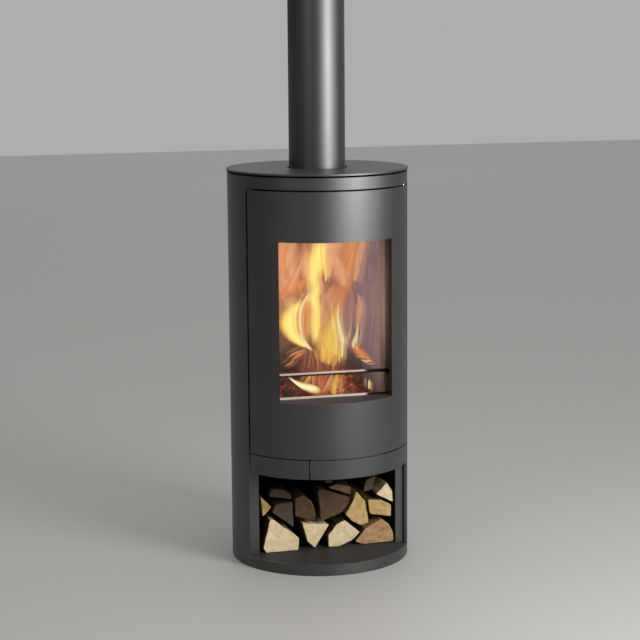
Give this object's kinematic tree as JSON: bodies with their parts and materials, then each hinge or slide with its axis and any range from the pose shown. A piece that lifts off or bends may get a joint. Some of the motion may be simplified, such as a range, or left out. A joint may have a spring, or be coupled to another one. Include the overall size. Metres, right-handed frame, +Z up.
{
  "type": "wood burning stove",
  "caption": "Round free-standing wood burning stove with a curved glazed door, a split band under it, an open log store and a flue pipe out of the top plate.",
  "frame": {"origin": "centre of the round base at floor level, on the axis of the jacket and the flue", "axes": "+Z up along the flue, -Y out of the door at the front, +X towards the door's hinge"},
  "size_m": [0.4839, 0.504, 1.555],
  "materials": {
    "grey_stove_paint": "satin heat-resistant paint on rolled steel",
    "black_paint": "matt black heat-resistant paint",
    "stainless_steel": "ground",
    "zinc_plated_steel": "zinc plated",
    "bronze": "sintered",
    "cast_iron": "as cast",
    "vermiculite": "pressed board",
    "ceramic_glass": "clear ceramic glass",
    "glass_rope": "knitted glass fibre rope",
    "split_birch": "split firewood with bark",
    "charred_wood": "charred"
  },
  "bodies": {
    "root": {"air_box": "black_paint", "air_intake_spigot": "black_paint", "air_wash_plate": "black_paint", "ash_chute": "black_paint", "baffle_plate": "vermiculite", "base_plate": "black_paint", "casing_shell": "grey_stove_paint", "drawer_runners": "zinc_plated_steel", "fire_logs": "charred_wood", "firebox_body": "black_paint", "firebox_front": "black_paint", "firewood_bottom": "split_birch", "firewood_middle": "split_birch", "firewood_top": "split_birch", "flue_collar": "black_paint", "flue_pipe": "grey_stove_paint", "front_post_left": "grey_stove_paint", "front_post_right": "grey_stove_paint", "grate": "cast_iron", "hearth_floor": "vermiculite", "heat_shield": "zinc_plated_steel", "hinge_brackets": "zinc_plated_steel", "hinge_pins": "stainless_steel", "latch_bracket": "zinc_plated_steel", "lining_back": "vermiculite", "lining_left": "vermiculite", "lining_right": "vermiculite", "log_guard": "stainless_steel", "smoke_deflector": "black_paint", "store_ceiling": "black_paint", "store_floor": "grey_stove_paint", "store_liner": "black_paint", "support_ring": "black_paint", "top_frame": "black_paint", "top_plate": "grey_stove_paint", "top_spacers": "black_paint"},
    "door": {"door_skin": "grey_stove_paint", "door_frame": "black_paint", "door_cap_top": "black_paint", "door_cap_bottom": "black_paint", "hinge_bushes": "bronze", "window_surround": "grey_stove_paint", "glass_strip": "stainless_steel", "glass_pane": "ceramic_glass", "glass_gasket": "glass_rope", "glass_clips": "zinc_plated_steel", "clip_screws": "zinc_plated_steel", "door_seal": "glass_rope", "latch_striker": "zinc_plated_steel", "handle_bracket": "zinc_plated_steel", "handle_pin": "stainless_steel"},
    "handle": {"handle_panel": "grey_stove_paint"},
    "drawer": {"drawer_front": "grey_stove_paint", "ash_pan": "zinc_plated_steel", "drawer_brackets": "zinc_plated_steel"},
    "air_control": {"air_lever": "black_paint", "lever_pin": "stainless_steel", "air_damper": "zinc_plated_steel"},
    "roller": {"latch_roller": "stainless_steel"}
  },
  "joints": [
    {"name": "door_hinge", "type": "hinge", "parent": "root", "child": "door", "pos_m": [0.208, -0.1032, 0.66], "axis": [0, 0, 1], "range_deg": [0, 90]},
    {"name": "handle_pivot", "type": "hinge", "parent": "door", "child": "handle", "pos_m": [-0.1336, -0.1773, 0.284], "axis": [0, 0, 1], "range_deg": [0, 15]},
    {"name": "drawer_slide", "type": "slide", "parent": "root", "child": "drawer", "axis": [0, -1, 0], "range_m": [0, 0.18]},
    {"name": "air_lever_turn", "type": "hinge", "parent": "root", "child": "air_control", "pos_m": [0, 0.09, 0.2545], "axis": [0, 0, 1], "range_deg": [0, 12]},
    {"name": "roller_spin", "type": "hinge", "parent": "root", "child": "roller", "pos_m": [-0.193, -0.1, 0.66], "axis": [0, 0, 1], "continuous": true}
  ]
}
